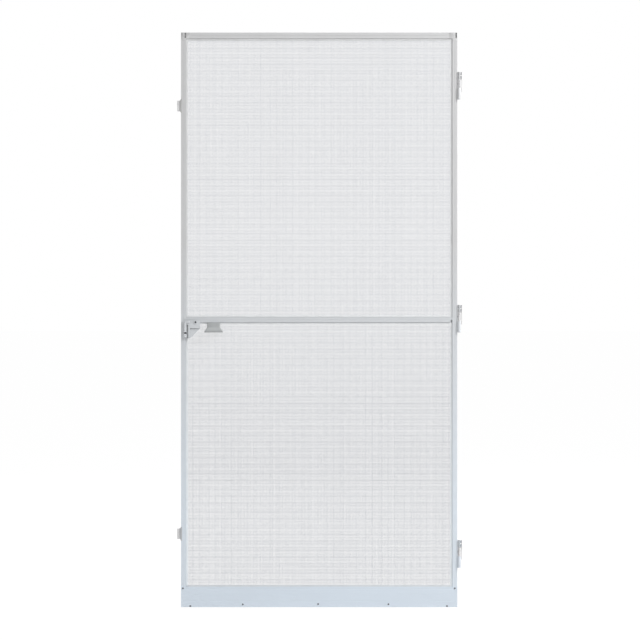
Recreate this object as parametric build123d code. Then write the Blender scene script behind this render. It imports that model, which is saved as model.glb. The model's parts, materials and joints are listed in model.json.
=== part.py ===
from build123d import *
import os
from math import cos, pi, sin, sqrt

# Insect screen door: an aluminium leaf with two mesh panels, hung on three sprung hinges.
# X runs along the door's width, Y from the front towards the back, Z upwards, in millimetres.
# The origin is on the wall face of the middle hinge's jamb leaf, at the centre of that face.

# Leaf and frame profile
leaf_w = 1010.0
leaf_h = 2100.0
depth = 12.0
wall = 1.1
stile_face = 18.5
top_face = 22.5
mid_face = 19.0
bottom_face = 18.5
groove_w = 4.8
rib_w = 1.7
step = 3.0
groove_depth = 5.0
edge_round = 0.8
line_w = 0.8
line_depth = 0.4
mid_rail_height = 1050.0

# How far a cutter runs past what it cuts, and how near two heights are when they are the same
over = 1.0
near = 0.01

# Corner pieces
corner_w = 30.0
tenon = 28.0
tenon_gap = 0.1
slot_h = 18.0
slot_w = 5.0
slot_depth = 6.0
slot_drop = 1.5
left_slot_from_edge = 13.0
right_slot_from_edge = 1.8

# Mesh and its spline
mesh_t = 0.4
mesh_tuck = 3.5
mesh_strand = 6.0
mesh_cells = 7
spline_edge = 1.2

# Kick plate
kick_h = 75.0
kick_t = 1.6
kick_line_drops = [53.0, 29.0, 9.0]
kick_line_w = 2.4
kick_line_depth = 0.5
seal_h = 6.0
seal_t = 3.6

# Pan head screws: each place is measured from an edge or from the centre line
screw_head_r = 2.9
screw_head_t = 1.8
screw_head_edge = 0.7
screw_head_sides = 12
kick_low_insets = (34.0, 38.0)
kick_low_height = 4.2
kick_high_insets = (7.0, 9.5)
kick_high_drop = 6.0
kick_centre_screws = [(-279.0, 10.5), (-4.0, 11.5), (253.0, 11.0)]

# Moulded corner bracket below the middle rail
bracket_left = 5.0
bracket_w = 65.0
bracket_drop = 0.7
bracket_h = 67.0
bracket_t = 5.0
bracket_arm = 30.0
bracket_heel = 28.5
bracket_round = 13.0
bracket_web_t = 2.2
bracket_rib_x = 9.5
bracket_rib_w = 10.0
bracket_rib_t = 2.4
bracket_rib_inset = 2.0
bracket_rib_run = 27.0
bracket_rib_turn = 9.0
bracket_groove_x = 18.4
bracket_groove_w = 5.5
bracket_groove_floor = 1.6
bracket_groove_top = 17.0
bracket_slot_w = 12.0
bracket_slot_h = 6.0
bracket_slot_drop = 47.5
bracket_slot_floor = 2.0
bracket_screw = (48.0, 8.0)
bracket_boss_r = 7.5
bracket_boss_t = 1.0
bracket_sink_gap = 0.7
bracket_sink_floor = 2.4

# Pull under the middle rail
handle_centre = 120.0
handle_start = 3.0
handle_h = 33.5
handle_neck = 15.5
handle_lip = 4.0
handle_top_w = 48.0
handle_bottom_w = 67.0
handle_reach_top = 9.0
handle_reach_bottom = 20.0
handle_wall = 2.2
handle_back_t = 1.8
handle_corner = 3.0

# Hinges
hinge_h = 101.0
hinge_inset = 144.0
mid_hinge_height = 1054.0
pin_r = 2.5
pin_gap = 0.05
pin_from_edge = 6.4
collar_r = 4.7
collar_h = 12.5
collar_notch = 1.2
collar_taper = 1.2
collar_waist = 1.6
collar_tie_t = 3.0
knuckle_r = 6.0
knuckle_h = 42.0
knuckle_floor = 3.0
knuckle_gap = 0.8
knuckle_web_t = 6.0
leaf_plate_t = 1.2
jamb_plate_t = 2.0
jamb_plate_w = 26.0
jamb_plate_h = 72.0
jamb_plate_lead = 2.0
jamb_hole_r = 2.3
jamb_hole_spacing = 44.0
jamb_hole_y = 5.0
jamb_corner = 4.0
jamb_gap = 17.5
hinge_screw_heights = (12.0, 58.0)
hinge_screw_from_back = 3.6

# Closing springs of the hinges, in wire drawn with six sides
wire_r = 0.9
wire_sides = 6
spring_gap = 0.15
spring_turns = 9
spring_sides = 8

# Magnetic catches
catch_inset = 268.0
catch_plate_h = 51.0
catch_plate_t = 3.6
catch_plate_w = 12.0
catch_flange_w = 4.0
catch_flange_t = 1.2
catch_bevel = 6.0
catch_gap = 1.0
magnet_t = 9.4
magnet_h = 38.0
magnet_w = 14.0
magnet_edge = 1.5
magnet_hole_r = 1.8
magnet_hole_spacing = 24.0

# Places worked out from the sizes
lip_w = groove_w + rib_w
stile_w = stile_face + lip_w
top_w = top_face + lip_w
mid_w = mid_face + 2 * lip_w
bottom_w = bottom_face + lip_w
x_right = -jamb_gap
x_left = x_right - leaf_w
pin_x = x_right + pin_from_edge
pin_y = -jamb_plate_w / 2 + jamb_plate_lead
y_front = pin_y
y_back = y_front + depth
y_lip = y_front + step
y_floor = y_lip + groove_depth
mid_hinge_z = jamb_plate_h / 2 - hinge_h / 2
z_bottom = mid_hinge_z - mid_hinge_height
z_top = z_bottom + leaf_h
z_mid = z_bottom + mid_rail_height
z_rail = z_mid - mid_face / 2
z_pull = z_rail - handle_start
hinge_centres = {
    "upper": z_top - hinge_inset - hinge_h / 2,
    "middle": mid_hinge_z,
    "lower": z_bottom + hinge_inset + hinge_h / 2,
}
catch_centres = {"upper": z_top - catch_inset, "lower": z_bottom + catch_inset}


def block(x0, x1, y0, y1, z0, z1):
    """A box between two corners."""
    centre = Pos((x0 + x1) / 2, (y0 + y1) / 2, (z0 + z1) / 2)
    return centre * Box(abs(x1 - x0), abs(y1 - y0), abs(z1 - z0))


def rod(radius, length, start, direction):
    """A cylinder that runs from start along direction."""
    return Plane(origin=start, z_dir=direction) * extrude(Circle(radius), length)


def frame_profile(face, lips):
    """The section of a frame bar: width along x, depth behind the front face along y.

    The raised hollow face carries a lip with an open spline groove on one side or on both.
    """
    first = lip_w if lips == 2 else 0.0
    end = first + face + lip_w
    outline = []
    if lips == 2:
        outline += [(0, depth), (0, step), (rib_w, step), (rib_w, step + groove_depth)]
        outline += [(first, step + groove_depth), (first, 0)]
    else:
        outline += [(0, depth), (0, 0)]
    outline += [(first + face, 0), (first + face, step + groove_depth)]
    outline += [(end - rib_w, step + groove_depth), (end - rib_w, step), (end, step), (end, depth)]
    section = make_face(Polyline(*outline, close=True))
    front = section.vertices().filter_by_position(Axis.Y, -near, near)
    section = fillet(front, edge_round)
    middle = first + face / 2
    line = Pos(middle, 0) * Rectangle(line_w, 2 * line_depth)
    chamber = Pos(middle, depth / 2) * Rectangle(face - 2 * wall, depth - 2 * wall)
    section = section - line - chamber
    base_low = step + groove_depth + wall
    base_high = depth - wall
    base_y = (base_low + base_high) / 2
    lip_chamber = Rectangle(lip_w - wall, base_high - base_low)
    section = section - Pos(first + face + (lip_w - wall) / 2, base_y) * lip_chamber
    if lips == 2:
        section = section - Pos(wall + (lip_w - wall) / 2, base_y) * lip_chamber
    return section


def frame_bar(face, lips, start, width_dir, length):
    """A frame bar whose section starts at start and widens along width_dir."""
    across = Vector(*width_dir)
    plane = Plane(origin=start, x_dir=across, z_dir=across.cross(Vector(0, 1, 0)))
    return extrude(plane * frame_profile(face, lips), length)


class Panel:
    """The rectangle between the raised faces of the frame that one mesh fills."""

    def __init__(self, z_low, z_high):
        self.x0 = x_left + stile_face
        self.x1 = x_right - stile_face
        self.z0 = z_low
        self.z1 = z_high

    def slab(self, inset, y0, y1):
        """The panel's rectangle, made smaller by inset, between two depths."""
        return block(
            self.x0 + inset, self.x1 - inset, y0, y1, self.z0 + inset, self.z1 - inset
        )

    def ring(self, inset_out, inset_in, y0, y1):
        """The strip between two insets of the panel's rectangle."""
        return self.slab(inset_out, y0, y1) - self.slab(inset_in, y0 - over, y1 + over)


upper_panel = Panel(z_mid + mid_face / 2, z_top - top_face)
lower_panel = Panel(z_bottom + bottom_face, z_rail)
panels = {"upper": upper_panel, "lower": lower_panel}


def groove_cut(panel):
    """The spline groove all round a panel."""
    return panel.ring(0, groove_w, y_front - over, y_floor)


def stile(left):
    """An upright of the frame, between the corner pieces."""
    low = z_bottom + bottom_w
    high = z_top - top_w
    if left:
        bar = frame_bar(stile_face, 1, (x_left, y_front, low), (1, 0, 0), high - low)
    else:
        bar = frame_bar(stile_face, 1, (x_right, y_front, high), (-1, 0, 0), high - low)
    for panel in panels.values():
        bar = bar - groove_cut(panel)
    return bar


def top_rail():
    """The top bar, between the corner pieces."""
    start = (x_left + corner_w, y_front, z_top)
    return frame_bar(top_face, 1, start, (0, 0, -1), leaf_w - 2 * corner_w)


def bottom_rail():
    """The bottom bar, between the corner pieces."""
    start = (x_right - corner_w, y_front, z_bottom)
    return frame_bar(bottom_face, 1, start, (0, 0, 1), leaf_w - 2 * corner_w)


def mid_rail():
    """The middle bar, notched at each end to lap over the uprights' lips."""
    start = (x_left + stile_face, y_front, z_mid + mid_w / 2)
    bar = frame_bar(mid_face, 2, start, (0, 0, -1), leaf_w - 2 * stile_face)
    z0 = z_mid - mid_w
    z1 = z_mid + mid_w
    for x in (x_left + stile_face, x_right - stile_face - lip_w):
        bar = bar - block(x, x + lip_w, y_lip, y_back + over, z0, z1)
        for low in (z_mid + mid_face / 2, z_mid - mid_w):
            bar = bar - block(x, x + lip_w, y_front - over, y_back + over, low, low + mid_w)
    return bar


def corner(left, top):
    """A moulded corner piece with a tenon into each of its two bars."""
    height = top_w if top else bottom_w
    face = top_face if top else bottom_face
    x0 = x_left if left else x_right - corner_w
    z0 = z_top - height if top else z_bottom
    body = block(x0, x0 + corner_w, y_front, y_back, z0, z0 + height)
    panel = upper_panel if top else lower_panel
    body = body - panel.slab(0, y_front - over, y_lip) - groove_cut(panel)
    body = body - panel.slab(lip_w, y_front - over, y_back + over)
    inset = wall + tenon_gap
    y0 = y_front + inset
    y1 = y_back - inset
    if left:
        stile_x0, stile_x1 = x_left + inset, x_left + stile_face - inset
        rail_x0, rail_x1 = x0 + corner_w, x0 + corner_w + tenon
    else:
        stile_x0, stile_x1 = x_right - stile_face + inset, x_right - inset
        rail_x0, rail_x1 = x0 - tenon, x0
    if top:
        stile_z0, stile_z1 = z0 - tenon, z0
        rail_z0, rail_z1 = z_top - face + inset, z_top - inset
    else:
        stile_z0, stile_z1 = z0 + height, z0 + height + tenon
        rail_z0, rail_z1 = z_bottom + inset, z_bottom + face - inset
    body = body + block(stile_x0, stile_x1, y0, y1, stile_z0, stile_z1)
    body = body + block(rail_x0, rail_x1, y0, y1, rail_z0, rail_z1)
    if top:
        slot_x = x_left + left_slot_from_edge
        if not left:
            slot_x = x_right - right_slot_from_edge - slot_w
        slot_z = z_top - slot_drop
        body = body - block(
            slot_x, slot_x + slot_w, y_front - over, y_front + slot_depth, slot_z - slot_h, slot_z
        )
    return body


def mesh_sheet(panel):
    """The mesh as a coarse grid of flat strands, with its edge tucked into the groove."""
    edge = groove_w - mesh_t
    sheet = panel.slab(edge, y_lip - mesh_t, y_lip)
    sheet = sheet + panel.ring(edge, groove_w, y_lip - mesh_t, y_lip + mesh_tuck)
    pitch_x = (panel.x1 - panel.x0 - 2 * lip_w + mesh_strand) / mesh_cells
    pitch_z = (panel.z1 - panel.z0 - 2 * lip_w + mesh_strand) / mesh_cells
    places = GridLocations(pitch_x, pitch_z, mesh_cells, mesh_cells)
    cell = Rectangle(pitch_x - mesh_strand, pitch_z - mesh_strand)
    centre = ((panel.x0 + panel.x1) / 2, y_lip - mesh_t - over, (panel.z0 + panel.z1) / 2)
    plane = Plane(origin=centre, x_dir=(1, 0, 0), z_dir=(0, 1, 0))
    cells = Sketch() + [place * cell for place in places]
    return sheet - extrude(plane * cells, mesh_t + 2 * over)


def spline(panel):
    """The rubber spline that holds the mesh in its groove."""
    loop = panel.ring(0, groove_w - mesh_t, y_lip, y_floor)
    return chamfer(loop.faces().sort_by(Axis.Y)[0].edges(), spline_edge)


def kick_plate():
    """The grooved plate across the foot of the door."""
    points = [(0, 0), (0, -kick_t)]
    for drop in kick_line_drops:
        height = kick_h - drop
        points.append((height - kick_line_w / 2, -kick_t))
        points.append((height, -kick_t + kick_line_depth))
        points.append((height + kick_line_w / 2, -kick_t))
    points += [(kick_h, -kick_t), (kick_h, 0)]
    plane = Plane(origin=(x_right, y_front, z_bottom), x_dir=(0, 0, 1), z_dir=(-1, 0, 0))
    return extrude(plane * make_face(Polyline(*points, close=True)), leaf_w)


def screw_heads(places, facing):
    """Plain pan heads on flat seats that face one way."""
    heads = []
    for place in places:
        seat = Plane(origin=place, z_dir=facing)
        head = extrude(seat * RegularPolygon(screw_head_r, screw_head_sides), screw_head_t)
        top = head.faces().sort_by(Axis(place, facing))[-1]
        heads.append(chamfer(top.edges(), screw_head_edge))
    return Compound(heads)


def kick_screws():
    """The screws of the kick plate, placed from its edges and from its centre line."""
    rows = [(kick_low_insets, kick_low_height), (kick_high_insets, kick_h - kick_high_drop)]
    places = []
    for (left, right), height in rows:
        places += [(x_left + left, height), (x_right - right, height)]
    places += [((x_left + x_right) / 2 + shift, height) for shift, height in kick_centre_screws]
    seats = [(x, y_front - kick_t, z_bottom + height) for x, height in places]
    return screw_heads(seats, (0, -1, 0))


def kick_seal():
    """The dark edging on top of the kick plate, between the uprights."""
    z0 = z_bottom + kick_h
    x0 = x_left + stile_w
    x1 = x_right - stile_w
    strip = block(x0, x1, y_front - kick_t, y_front - kick_t + seal_t, z0, z0 + seal_h)
    top_edge = strip.edges().filter_by(Axis.X).sort_by(Axis.Z)[-2:].sort_by(Axis.Y)[0]
    return fillet(top_edge, kick_t / 2)


def bracket():
    """The moulded bracket: two thick arms, a thin web between them and a curved finger rib."""
    x0 = x_left + bracket_left
    z1 = z_mid - bracket_drop
    plane = Plane(origin=(x0, y_front, z1), x_dir=(1, 0, 0), z_dir=(0, -1, 0))
    arms = [
        (0, 0),
        (bracket_w, 0),
        (bracket_w, -bracket_arm),
        (bracket_heel, -bracket_arm),
        (bracket_heel, -bracket_h),
        (0, -bracket_h),
    ]
    outline = make_face(Polyline(*arms, close=True))
    outline = fillet(outline.vertices().sort_by_distance((0, 0))[0], bracket_round)
    body = extrude(plane * outline, bracket_t)
    body = chamfer(body.faces().sort_by(Axis.Y)[0].edges(), edge_round)
    web = make_face(Polyline(*arms[2:5], close=True))
    body = body + extrude(plane * web, bracket_web_t)
    rib_z = -bracket_rib_inset - bracket_rib_w / 2
    route = FilletPolyline(
        (bracket_rib_x, -bracket_h + bracket_rib_inset),
        (bracket_rib_x, rib_z),
        (bracket_rib_run, rib_z),
        radius=bracket_rib_turn,
    )
    rib = extrude(plane * trace(route, bracket_rib_w), bracket_t + bracket_rib_t)
    body = body + chamfer(rib.faces().sort_by(Axis.Y)[0].edges(), 2 * edge_round)
    across, drop = bracket_screw
    boss = Pos(across, -drop) * Circle(bracket_boss_r)
    body = body + extrude(plane * boss, bracket_t + bracket_boss_t)
    groove = Pos(bracket_groove_x, -bracket_h) * Rectangle(
        bracket_groove_w, 2 * (bracket_h - bracket_groove_top)
    )
    body = body - from_floor(plane, groove, bracket_groove_floor)
    slot = Pos(*bracket_slot_place()) * Rectangle(bracket_slot_w, bracket_slot_h)
    body = body - from_floor(plane, slot, bracket_slot_floor)
    sink = Pos(across, -drop) * Circle(screw_head_r + bracket_sink_gap)
    return body - from_floor(plane, sink, bracket_sink_floor)


def bracket_slot_place():
    """The centre of the bracket's slot, from its upper left corner."""
    return (bracket_rib_x + bracket_groove_w / 2, -bracket_slot_drop)


def from_floor(plane, sketch, floor):
    """A cutter that removes the bracket over a sketch, down to a floor of that height."""
    reach = bracket_t + bracket_rib_t + over
    return extrude(plane.offset(floor) * sketch, reach)


def bracket_screws():
    """The two screws of the bracket, one sunk in its boss and one in its slot."""
    across, drop = bracket_screw
    slot_x, slot_z = bracket_slot_place()
    x0 = x_left + bracket_left
    z1 = z_mid - bracket_drop
    in_boss = (x0 + across, y_front - bracket_sink_floor, z1 - drop)
    in_slot = (x0 + slot_x, y_front - bracket_slot_floor, z1 + slot_z)
    return screw_heads([in_boss, in_slot], (0, -1, 0))


def pull_front(inset):
    """The pull's front view: neck, flare and lip, made smaller by inset."""
    top = handle_top_w / 2 - inset
    bottom = handle_bottom_w / 2 - inset
    flare_end = -handle_h + handle_lip
    points = [
        (-top, -inset),
        (-top, -handle_neck),
        (-bottom, flare_end),
        (-bottom, -handle_h),
        (bottom, -handle_h),
        (bottom, flare_end),
        (top, -handle_neck),
        (top, -inset),
    ]
    plane = Plane(origin=(x_left + handle_centre, y_front, z_pull), x_dir=(1, 0, 0), z_dir=(0, -1, 0))
    return plane * make_face(Polyline(*points, close=True))


def pull_view(outward, top, bottom, inset):
    """The pull's neck, flare and lip along one level direction, run on sideways."""
    points = [
        (-handle_bottom_w, -inset),
        (top, -inset),
        (top, -handle_neck),
        (bottom, -handle_h + handle_lip),
        (bottom, -handle_h),
        (-handle_bottom_w, -handle_h),
    ]
    across = Vector(*outward).cross(Vector(0, 0, 1))
    plane = Plane(origin=(x_left + handle_centre, y_front, z_pull), x_dir=outward, z_dir=across)
    return extrude(plane * make_face(Polyline(*points, close=True)), handle_bottom_w, both=True)


def pull_form(inset):
    """The pull's front view and side view run into each other, with its front corners cut."""
    top = handle_reach_top - inset
    bottom = handle_reach_bottom - inset
    form = extrude(pull_front(inset), handle_reach_bottom) & pull_view((0, -1, 0), top, bottom, inset)
    top_corner = (handle_top_w / 2 - inset + top - handle_corner) / sqrt(2)
    bottom_corner = (handle_bottom_w / 2 - inset + bottom - handle_corner) / sqrt(2)
    for side in (-1, 1):
        form = form & pull_view((side, -1, 0), top_corner, bottom_corner, inset)
    return form


def handle():
    """The moulded pull: a seat in the middle rail's step, and a hood that is open below."""
    xc = x_left + handle_centre
    half = handle_top_w / 2
    plate = extrude(pull_front(0), -handle_back_t)
    seat = block(xc - half, xc + half, y_front, y_lip - mesh_t, z_mid - mid_w / 2, z_rail)
    return plate + seat + (pull_form(0) - pull_form(handle_wall))


def hinge_levels(z):
    """The heights of a hinge's parts, from its top down."""
    top = z + hinge_h / 2
    collar_1 = top - collar_h
    collar_2_top = collar_1 - collar_notch
    collar_2 = collar_2_top - collar_h
    bottom = z - hinge_h / 2
    return {
        "top": top,
        "collar_1": collar_1,
        "collar_2_top": collar_2_top,
        "collar_2": collar_2,
        "knuckle": bottom + knuckle_h,
        "bottom": bottom,
    }


def collar_barrel(level):
    """The two collars with the tapered waist between them, turned about the pin's axis."""
    edge = [
        (0, level["top"]),
        (collar_r, level["top"]),
        (collar_r, level["collar_1"] + collar_taper),
        (collar_r - collar_waist, (level["collar_1"] + level["collar_2_top"]) / 2),
        (collar_r, level["collar_2_top"] - collar_taper),
        (collar_r, level["collar_2"]),
        (0, level["collar_2"]),
    ]
    plane = Plane(origin=(pin_x, pin_y, 0), x_dir=(1, 0, 0), z_dir=(0, -1, 0))
    section = plane * make_face(Polyline(*edge, close=True))
    return revolve(section, Axis((pin_x, pin_y, 0), (0, 0, 1)))


def jamb_leaf(z):
    """The hinge leaf on the jamb: a plate that carries the two collars by a tie each."""
    level = hinge_levels(z)
    y0 = pin_y - jamb_plate_lead
    leaf = block(-jamb_plate_t, 0, y0, y0 + jamb_plate_w, level["top"] - jamb_plate_h, level["top"])
    leaf = chamfer(leaf.edges().filter_by(Axis.X).sort_by(Axis.Y)[-2:], jamb_corner)
    for base in (level["collar_1"], level["collar_2"]):
        leaf = leaf + block(
            pin_x, -jamb_plate_t, pin_y, pin_y + collar_tie_t,
            base + collar_taper, base + collar_h - collar_taper,
        )
    leaf = leaf + collar_barrel(level)
    leaf = leaf - rod(pin_r, hinge_h, (pin_x, pin_y, level["bottom"]), (0, 0, 1))
    centre = level["top"] - jamb_plate_h / 2
    for side in (-1, 1):
        hole_z = centre + side * jamb_hole_spacing / 2
        leaf = leaf - rod(jamb_hole_r, jamb_plate_t + 2 * over, (over, jamb_hole_y, hole_z), (-1, 0, 0))
    return leaf


def door_leaf(z):
    """The hinge leaf on the door: a plate on the upright's side with the lower knuckle."""
    level = hinge_levels(z)
    plate = block(x_right, x_right + leaf_plate_t, y_front, y_back, level["bottom"], level["top"])
    web = block(
        x_right, pin_x, pin_y - knuckle_web_t / 2, pin_y + knuckle_web_t / 2,
        level["bottom"], level["knuckle"],
    )
    knuckle = rod(knuckle_r, knuckle_h, (pin_x, pin_y, level["bottom"]), (0, 0, 1))
    leaf = plate + web + knuckle
    bore_start = (pin_x, pin_y, level["bottom"] + knuckle_floor)
    return leaf - rod(pin_r + pin_gap, hinge_h, bore_start, (0, 0, 1))


def hinge_screws(z):
    """The screws of the door leaf, in the upright's side."""
    bottom = hinge_levels(z)["bottom"]
    seats = []
    for height in hinge_screw_heights:
        seats.append((x_right + leaf_plate_t, y_back - hinge_screw_from_back, bottom + height))
    return screw_heads(seats, (1, 0, 0))


def hinge_pin(z):
    """The pin: fixed in the collars, running in the knuckle."""
    level = hinge_levels(z)
    start = level["bottom"] + knuckle_floor + knuckle_gap
    return rod(pin_r, level["top"] - start, (pin_x, pin_y, start), (0, 0, 1))


def hinge_spring(z):
    """The closing spring: a coil round the pin, with a leg that bears on the jamb leaf."""
    level = hinge_levels(z)
    low = level["knuckle"] + knuckle_gap + wire_r
    high = level["collar_2"] - knuckle_gap - wire_r
    mean_r = (pin_r + spring_gap + wire_r) / cos(pi / spring_sides)
    count = spring_turns * spring_sides
    points = []
    for place in range(count + 1):
        turned = pi / 2 + 2 * pi * (count - place) / spring_sides
        rise = low + (high - low) * place / count
        points.append((pin_x + mean_r * cos(turned), pin_y + mean_r * sin(turned), rise))
    points.append((-jamb_plate_t, pin_y + mean_r, high))
    route = Polyline(*points)
    wire = Plane(origin=route @ 0, z_dir=route % 0) * RegularPolygon(wire_r, wire_sides)
    return sweep(wire, route, transition=Transition.RIGHT)


def catch_plate(z):
    """The steel keeper on the door: a plate on the upright's side with a front flange."""
    z0 = z - catch_plate_h / 2
    z1 = z + catch_plate_h / 2
    y0 = y_front - catch_flange_t
    outline = [
        (x_left, z0),
        (x_left - catch_plate_t, z0 + catch_bevel),
        (x_left - catch_plate_t, z1 - catch_bevel),
        (x_left, z1),
    ]
    plane = Plane(origin=(0, y0, 0), x_dir=(1, 0, 0), z_dir=(0, -1, 0))
    plate = extrude(plane * make_face(Polyline(*outline, close=True)), -catch_plate_w)
    return plate + block(x_left, x_left + catch_flange_w, y0, y_front, z0, z1)


def catch_magnet(z):
    """The magnet block on the jamb, facing the keeper."""
    x1 = x_left - catch_plate_t - catch_gap
    x0 = x1 - magnet_t
    body = block(x0, x1, y_front, y_front + magnet_w, z - magnet_h / 2, z + magnet_h / 2)
    body = chamfer(body.edges().filter_by(Axis.X), magnet_edge)
    for side in (-1, 1):
        start = (x0 - over, y_front + magnet_w / 2, z + side * magnet_hole_spacing / 2)
        body = body - rod(magnet_hole_r, magnet_t + 2 * over, start, (1, 0, 0))
    return body


def save(node, shape):
    """Writes one sub-part."""
    export_step(shape, f"parts/{node}.step")


def main():
    os.makedirs("parts", exist_ok=True)
    bars = {
        "stile_left": stile(True),
        "stile_right": stile(False),
        "top_rail": top_rail(),
        "mid_rail": mid_rail(),
        "bottom_rail": bottom_rail(),
        "corner_top_left": corner(True, True),
        "corner_top_right": corner(False, True),
        "corner_bottom_left": corner(True, False),
        "corner_bottom_right": corner(False, False),
    }
    for node, bar in bars.items():
        save(node, bar)
    for name, panel in panels.items():
        save(f"mesh_{name}", mesh_sheet(panel))
        save(f"spline_{name}", spline(panel))
    save("kick_plate", kick_plate())
    save("kick_screws", kick_screws())
    save("kick_seal", kick_seal())
    save("bracket", bracket())
    save("bracket_screws", bracket_screws())
    save("handle", handle())
    for name, z in hinge_centres.items():
        save(f"hinge_{name}_jamb_leaf", jamb_leaf(z))
        save(f"hinge_{name}_door_leaf", door_leaf(z))
        save(f"hinge_{name}_pin", hinge_pin(z))
        save(f"hinge_{name}_spring", hinge_spring(z))
        save(f"hinge_{name}_screws", hinge_screws(z))
    for name, z in catch_centres.items():
        save(f"catch_{name}_plate", catch_plate(z))
        save(f"catch_{name}_magnet", catch_magnet(z))


main()
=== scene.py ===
import json
import math
import random

import bmesh
import bpy
from mathutils import Matrix, Vector


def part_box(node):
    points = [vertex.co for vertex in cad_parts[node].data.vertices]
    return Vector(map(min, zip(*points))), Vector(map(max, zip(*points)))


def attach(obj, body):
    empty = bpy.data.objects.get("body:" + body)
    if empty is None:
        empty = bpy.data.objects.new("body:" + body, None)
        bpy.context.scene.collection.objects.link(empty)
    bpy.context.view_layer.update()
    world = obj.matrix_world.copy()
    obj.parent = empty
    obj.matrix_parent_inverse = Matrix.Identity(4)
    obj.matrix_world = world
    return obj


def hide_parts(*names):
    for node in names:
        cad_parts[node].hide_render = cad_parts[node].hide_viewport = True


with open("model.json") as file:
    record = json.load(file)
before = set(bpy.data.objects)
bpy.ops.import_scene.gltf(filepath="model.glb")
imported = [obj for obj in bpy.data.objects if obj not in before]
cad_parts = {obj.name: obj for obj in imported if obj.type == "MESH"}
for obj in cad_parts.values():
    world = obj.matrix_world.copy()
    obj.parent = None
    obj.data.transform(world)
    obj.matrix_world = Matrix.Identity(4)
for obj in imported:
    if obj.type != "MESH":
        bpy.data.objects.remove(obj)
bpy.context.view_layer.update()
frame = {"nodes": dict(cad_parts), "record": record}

MM = 0.001
LEAF = "leaf"
JAMB = "jamb_side"
HINGES = ("upper", "middle", "lower")
CATCHES = ("upper", "lower")
FRONT = Vector((0, -1, 0))
TO_JAMB = Vector((1, 0, 0))

# Insect mesh: yarn and pitch, slow and regular changes in width from yarn to yarn, looseness in
# place, and the depth at which each set of yarns lies, as a share of the yarn
YARN = 0.28 * MM
PITCH_ACROSS = 1.41 * MM
PITCH_UP = 1.59 * MM
YARN_STRETCH = 14
YARN_SLOW = 0.05
YARN_LOOSE = 0.04
BANDS_ACROSS = ((11.7 * MM, 0.17), (28.6 * MM, 0.10))
BANDS_UP = ((11.7 * MM, 0.25), (28.0 * MM, 0.17))
PLACE_LOOSE = 0.06
ACROSS_DEPTH = 0.18
UP_DEPTH = 0.36
TUCK = 3.5 * MM

# Screw heads: rings of radius and height, both as a share of the whole, and the cross recess, which
# starts above the head and narrows to a share of its size at its bottom
HEAD_RINGS = ((1.0, 0.0), (1.0, 0.34), (0.96, 0.58), (0.84, 0.80), (0.64, 0.93), (0.32, 1.0))
HEAD_SIDES = 32
CROSS_LENGTH = 0.58
CROSS_WIDTH = 0.17
CROSS_DEPTH = 0.55
CROSS_START = 1.2
CROSS_NARROW = 0.72

# Closing springs
SPRING_TURNS = 14
TURN_STEPS = 24
WIRE = 0.9 * MM

# Rubber spline: ribs across its front, their depth, and the crown of the front. Its flange lies on
# the mesh's edge, over the rib of the bar, and its other edge stands off the bar's step by a gap.
RIBS = 7
RIB_STEPS = 6
RIB_DEPTH = 0.15 * MM
CROWN = 0.12 * MM
PROUD = 0.6 * MM
FLANGE_LIFT = 0.38 * MM
STEP_GAP = 0.7 * MM

# Meshes: points that are merged, angles in degrees under which faces join, over which edges are
# rounded and over which a screw head shades sharply, and seeds of the weaves and the screws' turns
MERGE = 0.001 * MM
FLAT_ANGLE = 1
EDGE_ANGLE = 30
HEAD_ANGLE = 28
WEAVE_SEED = 11
HEAD_SEED = 7

# Rounding of the edges of moulded and cast pieces
CORNER_EDGE = 0.5 * MM
BRACKET_EDGE = 0.5 * MM
PULL_EDGE = 0.7 * MM
HINGE_EDGE = 0.35 * MM
PIN_EDGE = 0.5 * MM
KEEPER_EDGE = 0.3 * MM
MAGNET_EDGE = 0.5 * MM

# Just off the inner face of the jamb leaves' wall plates
PLATE_FACE = -2.1 * MM

# Heights between which the door's tone goes from its foot's to its top's, as shares of the leaf.
# A paler, bluer foot is painted light: the cool light low on the door, and light where the key
# falls off.
TONE_LOW = 0.15
TONE_HIGH = 0.64

# Span of a noise's values, and the reach and the open shares of the painted shade in grooves and
# corners
NOISE_LOW = 0.3
NOISE_HIGH = 0.7
CREVICE_SHADE_REACH = 8 * MM
CREVICE_SHADE_SAMPLES = 6
CREVICE_SHADE_FULL = 0.25
CREVICE_SHADE_NONE = 0.85

# Sockets of a colour's Mix node
MIX_FIRST = 6
MIX_SECOND = 7
MIX_RESULT = 2

# Light: the world's strength, and each lamp's place, size and power
AMBIENT = 0.52
LAMPS = {
    "key": ((3.6, -2.0, 3.6), 0.7, 271.0),
    "fill": ((-0.4, -6.5, 0.6), 3.0, 18.0),
    "rear": ((-2.5, 5.0, 2.6), 3.0, 85.0),
}

# Floor: half its size, its drop below the leaf, its tone for light and, with a glow, for the camera
FLOOR_SIZE = 200.0
FLOOR_DROP = 0.035
FLOOR_TONE = (0.8, 0.8, 0.8)
FLOOR_SEEN_TONE = (0.12, 0.12, 0.12)
FLOOR_GLOW = 0.93

# Camera: the photo's 640 pixels span this width at the door, how far it sees and what it faces
VIEW_WIDTH = 2.339
LENS = 120.0
SENSOR = 36.0
SIGHT = 300.0
VIEW_CENTRE_X = -0.5195
VIEW_CENTRE_Z = -0.0192
CENTRE = Vector((VIEW_CENTRE_X, 0, VIEW_CENTRE_Z))


def new_material(name, colour, roughness, metallic=0.0):
    """A node material with a Principled shader, and its nodes and links."""
    material = bpy.data.materials.new(name)
    material.use_nodes = True
    nodes = material.node_tree.nodes
    shader = nodes["Principled BSDF"]
    shader.inputs["Base Color"].default_value = (*colour, 1)
    shader.inputs["Roughness"].default_value = roughness
    shader.inputs["Metallic"].default_value = metallic
    return material, nodes, material.node_tree.links, shader


def texture_point(nodes, links, scale):
    """Object coordinates stretched by scale."""
    coordinates = nodes.new("ShaderNodeTexCoord")
    mapping = nodes.new("ShaderNodeMapping")
    mapping.inputs["Scale"].default_value = scale
    links.new(coordinates.outputs["Object"], mapping.inputs["Vector"])
    return mapping.outputs["Vector"]


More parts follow.
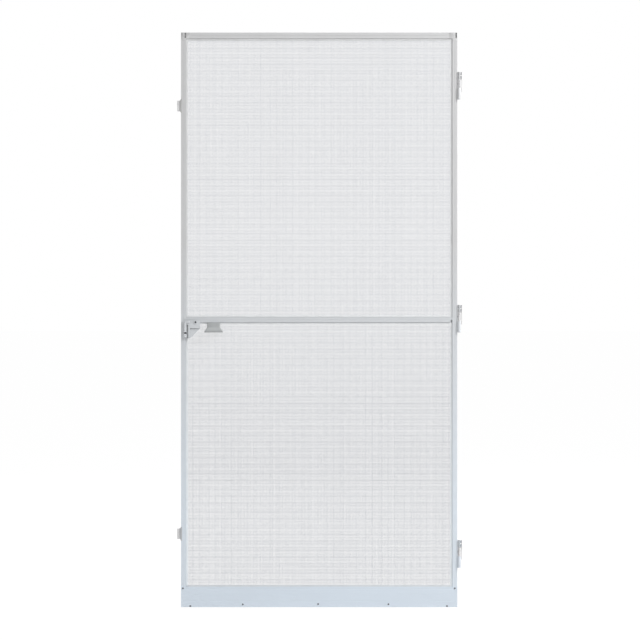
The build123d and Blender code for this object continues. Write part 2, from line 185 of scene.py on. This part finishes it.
def noise(nodes, links, point, scale, detail=3.0, roughness=0.5):
    """A noise texture at a point."""
    texture = nodes.new("ShaderNodeTexNoise")
    texture.inputs["Scale"].default_value = scale
    texture.inputs["Detail"].default_value = detail
    texture.inputs["Roughness"].default_value = roughness
    links.new(point, texture.inputs["Vector"])
    return texture.outputs["Fac"]


def tint(nodes, links, shader, factor, dark, light):
    """Colours the shader between two tones by a factor."""
    ramp = nodes.new("ShaderNodeValToRGB")
    ramp.color_ramp.elements[0].position = NOISE_LOW
    ramp.color_ramp.elements[0].color = (*dark, 1)
    ramp.color_ramp.elements[1].position = NOISE_HIGH
    ramp.color_ramp.elements[1].color = (*light, 1)
    links.new(factor, ramp.inputs["Fac"])
    links.new(ramp.outputs["Color"], shader.inputs["Base Color"])


def vary_roughness(nodes, links, shader, factor, low, high):
    """Spreads the shader's roughness between two values by a factor."""
    span = nodes.new("ShaderNodeMapRange")
    span.inputs["To Min"].default_value = low
    span.inputs["To Max"].default_value = high
    links.new(factor, span.inputs["Value"])
    links.new(span.outputs["Result"], shader.inputs["Roughness"])


def bump(nodes, links, shader, height, strength, distance):
    """Bumps the shader's surface by a height."""
    node = nodes.new("ShaderNodeBump")
    node.inputs["Strength"].default_value = strength
    node.inputs["Distance"].default_value = distance
    links.new(height, node.inputs["Height"])
    links.new(node.outputs["Normal"], shader.inputs["Normal"])


def scaled(colour, factor):
    """A colour made lighter or darker by a factor."""
    return tuple(min(1.0, part * factor) for part in colour)


def scale_colour(nodes, links, colour, factor):
    """The colour from one node made lighter or darker by the value from another."""
    scale = nodes.new("ShaderNodeVectorMath")
    scale.operation = "SCALE"
    links.new(colour, scale.inputs[0])
    links.new(factor, scale.inputs["Scale"])
    return scale.outputs["Vector"]


def one_colour(nodes, colour):
    """The output of a node that gives one colour."""
    source = nodes.new("ShaderNodeRGB")
    source.outputs[0].default_value = (*colour, 1)
    return source.outputs[0]


def place_along(nodes, links, axis):
    """The object coordinate along one axis."""
    coordinates = nodes.new("ShaderNodeTexCoord")
    parts = nodes.new("ShaderNodeSeparateXYZ")
    links.new(coordinates.outputs["Object"], parts.inputs["Vector"])
    return parts.outputs[axis]


def mix_colours(nodes, links, factor, first, second):
    """The first colour where the factor is zero and the second where it is one."""
    blend = nodes.new("ShaderNodeMix")
    blend.data_type = "RGBA"
    blend.inputs[MIX_FIRST].default_value = (*first, 1)
    blend.inputs[MIX_SECOND].default_value = (*second, 1)
    links.new(factor, blend.inputs["Factor"])
    return blend.outputs[MIX_RESULT]


def by_height(nodes, links, foot, top):
    """A colour that changes from the door's lower part to above its middle rail; a paler, bluer
    foot is painted light.
    """
    low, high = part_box("stile_left")[0][2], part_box("stile_left")[1][2]
    height = nodes.new("ShaderNodeMapRange")
    height.inputs["From Min"].default_value = low + TONE_LOW * (high - low)
    height.inputs["From Max"].default_value = low + TONE_HIGH * (high - low)
    links.new(place_along(nodes, links, "Z"), height.inputs["Value"])
    return mix_colours(nodes, links, height.outputs["Result"], foot, top)


def shade(nodes, links, shader, colour, factor, low, high):
    """Colours the shader with a colour made darker or lighter by a factor."""
    span = nodes.new("ShaderNodeMapRange")
    span.inputs["From Min"].default_value = NOISE_LOW
    span.inputs["From Max"].default_value = NOISE_HIGH
    span.inputs["To Min"].default_value = low
    span.inputs["To Max"].default_value = high
    links.new(factor, span.inputs["Value"])
    shaded = scale_colour(nodes, links, colour, span.outputs["Result"])
    links.new(shaded, shader.inputs["Base Color"])


def powder_coat(name, colour, foot=None, drawn=(1, 1, 1)):
    """Powder coat on metal: fine orange peel, faint tone changes along the bar, and a paler, bluer
    foot where given, which is painted light.
    """
    material, nodes, links, shader = new_material(name, colour, 0.42)
    point = texture_point(nodes, links, drawn)
    tone = noise(nodes, links, point, scale=9.0, detail=4.0, roughness=0.6)
    base = by_height(nodes, links, foot or colour, colour)
    shade(nodes, links, shader, base, tone, low=0.975, high=1.025)
    peel_point = texture_point(nodes, links, (1, 1, 1))
    peel = noise(nodes, links, peel_point, scale=1400.0, detail=2.0, roughness=0.4)
    vary_roughness(nodes, links, shader, tone, low=0.38, high=0.5)
    bump(nodes, links, shader, peel, strength=0.12, distance=0.2 * MM)
    return material


def painted_crevice_shade(nodes, links, colour, depth):
    """A colour made darker in grooves and corners by how open each point is: painted shade."""
    open_share = nodes.new("ShaderNodeAmbientOcclusion")
    open_share.samples = CREVICE_SHADE_SAMPLES
    open_share.inputs["Distance"].default_value = CREVICE_SHADE_REACH
    span = nodes.new("ShaderNodeMapRange")
    span.inputs["From Min"].default_value = CREVICE_SHADE_FULL
    span.inputs["From Max"].default_value = CREVICE_SHADE_NONE
    span.inputs["To Min"].default_value = 1.0 - depth
    links.new(open_share.outputs["AO"], span.inputs["Value"])
    return scale_colour(nodes, links, colour, span.outputs["Result"])


def painted_light_by_depth(nodes, links, colour, painted_levels):
    """Painted light and shade: a colour made lighter or darker from one depth to another: (depth,
    factor) twice.
    """
    span = nodes.new("ShaderNodeMapRange")
    for end, (depth, factor) in zip(("Min", "Max"), painted_levels):
        span.inputs["From " + end].default_value = depth
        span.inputs["To " + end].default_value = factor
    links.new(place_along(nodes, links, "Y"), span.inputs["Value"])
    return scale_colour(nodes, links, colour, span.outputs["Result"])


def moulded_plastic(name, colour, roughness=0.5, crevice_shade=0.0, painted_levels=None):
    """Moulded plastic: a fine eroded grain, soft tone changes, and where given, painted light and
    shade by depth and painted shade in its grooves.
    """
    material, nodes, links, shader = new_material(name, colour, roughness)
    point = texture_point(nodes, links, (1, 1, 1))
    tone = noise(nodes, links, point, scale=40.0)
    base = one_colour(nodes, colour)
    if painted_levels:
        base = painted_light_by_depth(nodes, links, base, painted_levels)
    if crevice_shade:
        base = painted_crevice_shade(nodes, links, base, crevice_shade)
    shade(nodes, links, shader, base, tone, low=0.96, high=1.03)
    grain = noise(nodes, links, point, scale=2600.0, roughness=0.6)
    vary_roughness(nodes, links, shader, tone, low=roughness - 0.06, high=roughness + 0.06)
    bump(nodes, links, shader, grain, strength=0.2, distance=0.2 * MM)
    return material


def dull_rubber(name, colour, foot=None):
    """Rubber: a dull skin with fine specks of dust, and a paler, bluer foot where given, which is
    painted light.
    """
    material, nodes, links, shader = new_material(name, colour, 0.75)
    point = texture_point(nodes, links, (1, 1, 1))
    tone = noise(nodes, links, point, scale=60.0, roughness=0.6)
    base = by_height(nodes, links, foot or colour, colour)
    shade(nodes, links, shader, base, tone, low=0.94, high=1.04)
    specks = noise(nodes, links, point, scale=1800.0, detail=4.0, roughness=0.7)
    bump(nodes, links, shader, specks, strength=0.25, distance=0.2 * MM)
    return material


def drawn_steel(name, colour, roughness=0.35):
    """Drawn or turned steel with fine streaks."""
    material, nodes, links, shader = new_material(name, colour, roughness, metallic=1.0)
    point = texture_point(nodes, links, (1, 1, 14))
    streaks = noise(nodes, links, point, scale=500.0, roughness=0.7)
    tint(nodes, links, shader, streaks, scaled(colour, 0.85), scaled(colour, 1.1))
    vary_roughness(nodes, links, shader, streaks, low=roughness - 0.08, high=roughness + 0.1)
    bump(nodes, links, shader, streaks, strength=0.1, distance=0.1 * MM)
    return material


def coated_yarn(name, upper_tone, lower_tone):
    """Coated glass yarn: a dull skin that is darker towards the foot of the door."""
    material, nodes, links, shader = new_material(name, upper_tone, 0.6)
    point = texture_point(nodes, links, (1, 1, 1))
    tone = noise(nodes, links, point, scale=12.0)
    base = by_height(nodes, links, lower_tone, upper_tone)
    shade(nodes, links, shader, base, tone, low=0.98, high=1.02)
    twist = noise(nodes, links, point, scale=2200.0, detail=2.0)
    vary_roughness(nodes, links, shader, twist, low=0.5, high=0.7)
    bump(nodes, links, shader, twist, strength=0.3, distance=0.1 * MM)
    return material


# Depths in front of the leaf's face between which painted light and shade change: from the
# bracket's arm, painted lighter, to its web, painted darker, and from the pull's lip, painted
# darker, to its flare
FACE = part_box("stile_left")[0][1]
ARM_FRONT = FACE - 5.0 * MM
WEB_FRONT = FACE - 2.2 * MM
LIP_FRONT = FACE - 19.0 * MM
FLARE_FRONT = FACE - 15.0 * MM

MATERIALS = {
    # The paler, bluer foot tones given below to the frame, the cord, the hinges and the catches are
    # painted light
    "frame_paint": powder_coat(
        "frame_paint", (0.590, 0.593, 0.598), foot=(0.695, 0.757, 0.818), drawn=(1, 1, 0.15)
    ),
    # The corners have painted shade in their grooves and corners
    "corner_plastic": moulded_plastic("corner_plastic", (0.565, 0.567, 0.570), 0.48, crevice_shade=0.25),
    "mesh_fibre": coated_yarn("mesh_fibre", (0.375, 0.395, 0.440), (0.185, 0.207, 0.258)),
    "spline_rubber": dull_rubber("spline_rubber", (0.78, 0.785, 0.79), foot=(0.90, 0.94, 0.97)),
    # The kick plate's pale metal is its own colour; its blue tint is painted light, the cool light
    # low on the door
    "kick_metal": powder_coat("kick_metal", (0.680, 0.754, 0.832), drawn=(0.15, 1, 1)),
    "seal_rubber": dull_rubber("seal_rubber", (0.68, 0.71, 0.74)),
    "screw_steel": drawn_steel("screw_steel", (0.10, 0.10, 0.11), 0.4),
    # The bracket has painted shade in its grooves, and its arm and web are painted lighter and
    # darker by depth
    "bracket_plastic": moulded_plastic(
        "bracket_plastic",
        (0.57, 0.59, 0.61),
        0.5,
        crevice_shade=0.8,
        painted_levels=((ARM_FRONT, 1.06), (WEB_FRONT, 0.95)),
    ),
    # The pull's lip is painted darker than its flare: painted shade
    "handle_plastic": moulded_plastic(
        "handle_plastic",
        (0.415, 0.430, 0.434),
        0.5,
        painted_levels=((LIP_FRONT, 0.84), (FLARE_FRONT, 1.0)),
    ),
    "hinge_metal": powder_coat("hinge_metal", (0.46, 0.465, 0.475), foot=(0.48, 0.515, 0.55)),
    # A lighter copy of the hinge coat for the door leaves: painted light against the shade on their
    # barrels
    "hinge_knuckle": powder_coat("hinge_knuckle", (0.64, 0.65, 0.66), foot=(0.66, 0.71, 0.77)),
    "pin_steel": drawn_steel("pin_steel", (0.5, 0.5, 0.51)),
    "hinge_plate": powder_coat("hinge_plate", (0.80, 0.80, 0.80)),
    "spring_steel": drawn_steel("spring_steel", (0.66, 0.66, 0.67), 0.45),
    "catch_steel": powder_coat("catch_steel", (0.49, 0.49, 0.49), foot=(0.50, 0.515, 0.535)),
    "magnet_plastic": moulded_plastic("magnet_plastic", (0.68, 0.68, 0.685), 0.5),
}
SLOT_OF = {row["node"]: row["material_slot"] for row in frame["record"]["subparts"]}


def dress_cad_nodes():
    """Gives every CAD node the material of its slot."""
    for node, obj in frame["nodes"].items():
        for slot in obj.material_slots:
            slot.material = MATERIALS[SLOT_OF[node]]


def new_piece(node, suffix, mesh, body, smooth=False):
    """Adds a mesh object that stands for a CAD node, rides on its body and takes its slot."""
    piece = bpy.data.objects.new(f"{node}_{suffix}", mesh)
    bpy.context.scene.collection.objects.link(piece)
    mesh.materials.clear()
    mesh.materials.append(MATERIALS[SLOT_OF[node]])
    for polygon in mesh.polygons:
        polygon.use_smooth = smooth
        polygon.material_index = 0
    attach(piece, body)
    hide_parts(node)
    return piece


def soften(node, body, width, segments=2):
    """The same form as a CAD node, with its sharp edges rounded."""
    form = bmesh.new()
    form.from_mesh(frame["nodes"][node].data)
    bmesh.ops.remove_doubles(form, verts=form.verts, dist=MERGE)
    bmesh.ops.dissolve_limit(
        form, angle_limit=math.radians(FLAT_ANGLE), verts=form.verts, edges=form.edges
    )
    bmesh.ops.recalc_face_normals(form, faces=form.faces)
    mesh = bpy.data.meshes.new(node + "_rounded")
    form.to_mesh(mesh)
    form.free()
    piece = new_piece(node, "rounded", mesh, body, smooth=True)
    rounding = piece.modifiers.new("rounding", "BEVEL")
    rounding.width = width
    rounding.segments = segments
    rounding.limit_method = "ANGLE"
    rounding.angle_limit = math.radians(EDGE_ANGLE)
    rounding.harden_normals = True
    return piece


def add_prism(verts, faces, rings):
    """Joins rings of equal length by quads and caps both ends."""
    base = len(verts)
    count = len(rings[0])
    for ring in rings:
        verts.extend(ring)
    for step in range(len(rings) - 1):
        low = base + step * count
        for place in range(count):
            after = (place + 1) % count
            faces.append((low + place, low + after, low + count + after, low + count + place))
    faces.append(tuple(range(base + count - 1, base - 1, -1)))
    faces.append(tuple(range(len(verts) - count, len(verts))))


def lay_yarns(low, high, pitch, bands, rng):
    """The place and width of each yarn from low to high: slow drift, bands and some looseness."""
    count = int((high - low) / pitch)
    knots = [rng.uniform(-1, 1) for _ in range(count // YARN_STRETCH + 3)]
    phases = [rng.uniform(0, 2 * math.pi) for _ in bands]
    yarns = []
    for index in range(count):
        stretch = index / YARN_STRETCH
        knot = int(stretch)
        slow = knots[knot] * (1 - stretch + knot) + knots[knot + 1] * (stretch - knot)
        share = YARN_SLOW * slow + YARN_LOOSE * rng.uniform(-1, 1)
        loose = PLACE_LOOSE * rng.uniform(-1, 1)
        place = low + (index + 0.5 + loose) * (high - low) / count
        for (period, depth), phase in zip(bands, phases):
            share += depth * math.sin(2 * math.pi * place / period + phase)
        yarns.append((place, YARN * (1 + share)))
    return yarns


def add_yarn(verts, faces, centre, width, along, low, high, y):
    """A square-section yarn across a panel, with both ends bent back into the groove."""
    half = width / 2
    offsets = ((-half, 0), (0, -half), (half, 0), (0, half))
    stops = ((low, TUCK, 1), (low, 0, 1), (high, 0, -1), (high, TUCK, -1))
    rings = []
    for end, deep, inward in stops:
        ring = []
        for side, lift in offsets:
            run = end - inward * lift
            back = y + (deep or lift)
            if along == "z":
                ring.append((centre + side, back, run))
            else:
                ring.append((run, back, centre + side))
        rings.append(ring)
    add_prism(verts, faces, rings)


def weave_mesh(node, seed):
    """The open weave of one panel, in place of its coarse grid."""
    low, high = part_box(node)
    rng = random.Random(seed)
    y = low[1] + 0.5 * YARN
    verts, faces = [], []
    for x, thick in lay_yarns(low[0], high[0], PITCH_ACROSS, BANDS_ACROSS, rng):
        lie = y + ACROSS_DEPTH * YARN
        add_yarn(verts, faces, x, thick, "z", low[2] + YARN, high[2] - YARN, lie)
    for z, thick in lay_yarns(low[2], high[2], PITCH_UP, BANDS_UP, rng):
        lie = y + UP_DEPTH * YARN
        add_yarn(verts, faces, z, thick, "x", low[0] + YARN, high[0] - YARN, lie)
    mesh = bpy.data.meshes.new(node + "_weave")
    mesh.from_pydata(verts, [], faces)
    return new_piece(node, "weave", mesh, LEAF)


def spline_cord(node):
    """The ribbed rubber cord round a panel, with its flange, in place of the plain ring."""
    low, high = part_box(node)
    panel = "mesh_" + node.split("_")[1]
    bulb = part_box(panel)[0][0] - low[0]
    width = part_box("stile_left")[1][0] - low[0]
    depth = high[1] - low[1]
    section = [(STEP_GAP, depth + PROUD)]
    steps = RIBS * RIB_STEPS
    for step in range(steps + 1):
        across = step / steps
        crown = CROWN * (2 * across - 1) ** 4
        groove = RIB_DEPTH * (1 - abs(math.sin(math.pi * RIBS * across)))
        section.append((STEP_GAP + across * (width - STEP_GAP), crown + groove))
    section += [(width, PROUD - FLANGE_LIFT), (bulb, PROUD - FLANGE_LIFT), (bulb, depth + PROUD)]
    verts, faces = [], []
    for inset, deep in section:
        y = low[1] - PROUD + deep
        x0, x1 = low[0] + inset, high[0] - inset
        z0, z1 = low[2] + inset, high[2] - inset
        verts += [(x0, y, z0), (x1, y, z0), (x1, y, z1), (x0, y, z1)]
    count = len(section)
    for row in range(count):
        base, after = 4 * row, 4 * ((row + 1) % count)
        for corner in range(4):
            following = (corner + 1) % 4
            faces.append((base + corner, after + corner, after + following, base + following))
    mesh = bpy.data.meshes.new(node + "_cord")
    mesh.from_pydata(verts, [], faces)
    return new_piece(node, "cord", mesh, LEAF)


def islands(node):
    """The box of each separate solid in a CAD node, as its low and high corners."""
    form = bmesh.new()
    form.from_mesh(frame["nodes"][node].data)
    bmesh.ops.remove_doubles(form, verts=form.verts, dist=MERGE)
    left = set(form.verts)
    boxes = []
    while left:
        queue = [left.pop()]
        points = []
        while queue:
            vert = queue.pop()
            points.append(vert.co.copy())
            for edge in vert.link_edges:
                other = edge.other_vert(vert)
                if other in left:
                    left.remove(other)
                    queue.append(other)
        low = Vector([min(point[axis] for point in points) for axis in range(3)])
        high = Vector([max(point[axis] for point in points) for axis in range(3)])
        boxes.append((low, high))
    form.free()
    return sorted(boxes, key=lambda box: (round(box[0].z, 5), round(box[0].x, 5)))


def cutter_bar(verts, faces, radius, height, turn):
    """One bar of the cross that is cut into a screw head, narrower towards its bottom."""
    length, width = CROSS_LENGTH * radius, CROSS_WIDTH * radius
    rings = []
    for level, size in ((CROSS_START, 1.0), (1.0 - CROSS_DEPTH, CROSS_NARROW)):
        ring = []
        for x, y in ((-length, -width), (length, -width), (length, width), (-length, width)):
            across, along = x * size, y * size
            if turn:
                across, along = -along, across
            ring.append((across, along, level * height))
        rings.append(ring)
    add_prism(verts, faces, rings)


def head_form(radius, height):
    """A pan head with a cross recess, seated at the origin and facing +Z."""
    rings = []
    for share, level in HEAD_RINGS:
        ring = []
        for step in range(HEAD_SIDES):
            turned = 2 * math.pi * step / HEAD_SIDES
            x, y = share * radius * math.cos(turned), share * radius * math.sin(turned)
            ring.append((x, y, level * height))
        rings.append(ring)
    verts, faces = [], []
    add_prism(verts, faces, rings)
    head = bpy.data.meshes.new("head")
    head.from_pydata(verts, [], faces)
    head_object = bpy.data.objects.new("head", head)
    bpy.context.scene.collection.objects.link(head_object)
    cutters = []
    for turn in (False, True):
        verts, faces = [], []
        cutter_bar(verts, faces, radius, height, turn)
        bar = bpy.data.meshes.new("bar")
        bar.from_pydata(verts, [], faces)
        cleaned = bmesh.new()
        cleaned.from_mesh(bar)
        bmesh.ops.recalc_face_normals(cleaned, faces=cleaned.faces)
        cleaned.to_mesh(bar)
        cleaned.free()
        cutter = bpy.data.objects.new("bar", bar)
        bpy.context.scene.collection.objects.link(cutter)
        cut = head_object.modifiers.new("cut", "BOOLEAN")
        cut.operation = "DIFFERENCE"
        cut.solver = "EXACT"
        cut.object = cutter
        cutters.append(cutter)
    depsgraph = bpy.context.evaluated_depsgraph_get()
    form = bpy.data.meshes.new_from_object(head_object.evaluated_get(depsgraph))
    for extra in [head_object, *cutters]:
        bpy.data.objects.remove(extra, do_unlink=True)
    return form


def screw_heads(node, body, facing, rng):
    """Pan heads with a cross recess, in place of the plain heads of a CAD node."""
    turn_to = facing.to_track_quat("Z", "Y").to_matrix().to_4x4()
    form = bmesh.new()
    for low, high in islands(node):
        size = high - low
        height = abs(size.dot(facing))
        radius = max(size) / 2
        seat = (low + high) / 2 - facing * height / 2
        head = head_form(radius, height)
        turned = Matrix.Rotation(rng.uniform(0, math.pi), 4, "Z")
        head.transform(Matrix.Translation(seat) @ turn_to @ turned)
        form.from_mesh(head)
        bpy.data.meshes.remove(head)
    mesh = bpy.data.meshes.new(node + "_heads")
    form.to_mesh(mesh)
    form.free()
    piece = new_piece(node, "heads", mesh, body, smooth=True)
    mesh.set_sharp_from_angle(angle=math.radians(HEAD_ANGLE))
    return piece


def closing_spring(name):
    """A round-wire coil with its leg, in place of the coil of six-sided wire."""
    node = f"hinge_{name}_spring"
    low, high = (Vector(corner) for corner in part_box(node))
    pin_low, pin_high = (Vector(corner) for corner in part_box(f"hinge_{name}_pin"))
    axis = (pin_low + pin_high) / 2
    radius = axis.x - low.x - WIRE
    bottom, top = low.z + WIRE, high.z - WIRE
    data = bpy.data.curves.new(node, "CURVE")
    data.dimensions = "3D"
    data.bevel_depth = WIRE
    data.bevel_resolution = 3
    data.use_fill_caps = True
    count = SPRING_TURNS * TURN_STEPS
    points = []
    for step in range(count + 1):
        turned = math.pi / 2 + 2 * math.pi * (count - step) / TURN_STEPS
        rise = bottom + (top - bottom) * step / count
        x, y = axis.x + radius * math.cos(turned), axis.y + radius * math.sin(turned)
        points.append((x, y, rise))
    points.append((high.x, axis.y + radius, top))
    line = data.splines.new("POLY")
    line.points.add(len(points) - 1)
    for place, point in zip(line.points, points):
        place.co = (*point, 1)
    wire = bpy.data.objects.new("wire", data)
    bpy.context.scene.collection.objects.link(wire)
    depsgraph = bpy.context.evaluated_depsgraph_get()
    mesh = bpy.data.meshes.new_from_object(wire.evaluated_get(depsgraph))
    bpy.data.objects.remove(wire, do_unlink=True)
    return new_piece(node, "coil", mesh, JAMB, smooth=True)


def area_light(name, place, size, power):
    """A square white lamp that points at the door's centre."""
    data = bpy.data.lights.new(name, "AREA")
    data.size = size
    data.energy = power
    light = bpy.data.objects.new(name, data)
    light.location = place
    light.rotation_euler = (CENTRE - Vector(place)).to_track_quat("-Z", "Y").to_euler()
    bpy.context.scene.collection.objects.link(light)


def seen_directly(nodes, links):
    """One for camera, glossy and transmission rays, and zero for all others."""
    path = nodes.new("ShaderNodeLightPath")
    total = path.outputs["Is Camera Ray"]
    for kind in ("Is Glossy Ray", "Is Transmission Ray"):
        larger = nodes.new("ShaderNodeMath")
        larger.operation = "MAXIMUM"
        links.new(total, larger.inputs[0])
        links.new(path.outputs[kind], larger.inputs[1])
        total = larger.outputs[0]
    return total


def set_world():
    """A soft even world, shown as white."""
    world = bpy.data.worlds.new("studio")
    bpy.context.scene.world = world
    world.use_nodes = True
    nodes = world.node_tree.nodes
    links = world.node_tree.links
    ambient = nodes["Background"]
    ambient.inputs["Color"].default_value = (1, 1, 1, 1)
    ambient.inputs["Strength"].default_value = AMBIENT
    shown = nodes.new("ShaderNodeBackground")
    shown.inputs["Color"].default_value = (1, 1, 1, 1)
    shown.inputs["Strength"].default_value = 1.0
    mix = nodes.new("ShaderNodeMixShader")
    links.new(seen_directly(nodes, links), mix.inputs["Fac"])
    links.new(ambient.outputs[0], mix.inputs[1])
    links.new(shown.outputs[0], mix.inputs[2])
    links.new(mix.outputs[0], nodes["World Output"].inputs["Surface"])


def add_floor(z):
    """A plain white floor that keeps the door's shadow, softly."""
    mesh = bpy.data.meshes.new("floor")
    corners = [(FLOOR_SIZE * x, FLOOR_SIZE * y, z) for x, y in ((-1, -1), (1, -1), (1, 1), (-1, 1))]
    mesh.from_pydata(corners, [], [(0, 1, 2, 3)])
    floor = bpy.data.objects.new("floor", mesh)
    bpy.context.scene.collection.objects.link(floor)
    material, nodes, links, shader = new_material("floor", FLOOR_TONE, 0.9)
    shader.inputs["Specular IOR Level"].default_value = 0.0
    seen = seen_directly(nodes, links)
    tone = mix_colours(nodes, links, seen, FLOOR_TONE, FLOOR_SEEN_TONE)
    links.new(tone, shader.inputs["Base Color"])
    glow = nodes.new("ShaderNodeEmission")
    lift = nodes.new("ShaderNodeMath")
    lift.operation = "MULTIPLY"
    lift.inputs[1].default_value = FLOOR_GLOW
    links.new(seen, lift.inputs[0])
    links.new(lift.outputs[0], glow.inputs["Strength"])
    both = nodes.new("ShaderNodeAddShader")
    links.new(shader.outputs[0], both.inputs[0])
    links.new(glow.outputs[0], both.inputs[1])
    links.new(both.outputs[0], nodes["Material Output"].inputs["Surface"])
    mesh.materials.append(material)


def add_camera():
    """A long lens straight in front of the door."""
    data = bpy.data.cameras.new("camera")
    data.lens = LENS
    data.sensor_width = SENSOR
    distance = VIEW_WIDTH * LENS / SENSOR
    data.clip_end = SIGHT
    camera = bpy.data.objects.new("camera", data)
    camera.location = (VIEW_CENTRE_X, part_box("stile_left")[0][1] - distance, VIEW_CENTRE_Z)
    camera.rotation_euler = (math.pi / 2, 0, 0)
    bpy.context.scene.collection.objects.link(camera)
    bpy.context.scene.camera = camera


def add_lights():
    """A key from the upper right, a broad fill from the front and one from behind."""
    for name, (place, size, power) in LAMPS.items():
        area_light(name, place, size, power)


def door_leaf(name):
    """A door leaf with rounded edges and a lighter copy of the hinge coat, which is painted light
    against the shade on its barrel.
    """
    piece = soften(f"hinge_{name}_door_leaf", LEAF, HINGE_EDGE)
    piece.data.materials[0] = MATERIALS["hinge_knuckle"]


def whiten_plate(piece):
    """Gives the wall plate of a jamb leaf its paler coat."""
    piece.data.materials.append(MATERIALS["hinge_plate"])
    for polygon in piece.data.polygons:
        if min(piece.data.vertices[index].co.x for index in polygon.vertices) > PLATE_FACE:
            polygon.material_index = 1


def add_pieces():
    """All pieces that stand for CAD nodes with finer forms."""
    rng = random.Random(HEAD_SEED)
    for seed, panel in enumerate(("upper", "lower")):
        weave_mesh("mesh_" + panel, WEAVE_SEED + seed)
        spline_cord("spline_" + panel)
    for side in ("left", "right"):
        for level in ("top", "bottom"):
            soften(f"corner_{level}_{side}", LEAF, CORNER_EDGE)
    soften("handle", LEAF, PULL_EDGE, 3)
    soften("bracket", LEAF, BRACKET_EDGE)
    screw_heads("kick_screws", LEAF, FRONT, rng)
    screw_heads("bracket_screws", LEAF, FRONT, rng)
    for name in HINGES:
        whiten_plate(soften(f"hinge_{name}_jamb_leaf", JAMB, HINGE_EDGE))
        door_leaf(name)
        soften(f"hinge_{name}_pin", JAMB, PIN_EDGE)
        closing_spring(name)
        screw_heads(f"hinge_{name}_screws", LEAF, TO_JAMB, rng)
    for name in CATCHES:
        soften(f"catch_{name}_plate", LEAF, KEEPER_EDGE)
        soften(f"catch_{name}_magnet", JAMB, MAGNET_EDGE)


scene = bpy.context.scene
scene.view_settings.view_transform = "Standard"
add_camera()
dress_cad_nodes()
add_pieces()
add_floor(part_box("stile_left")[0][2] - FLOOR_DROP)
set_world()
add_lights()
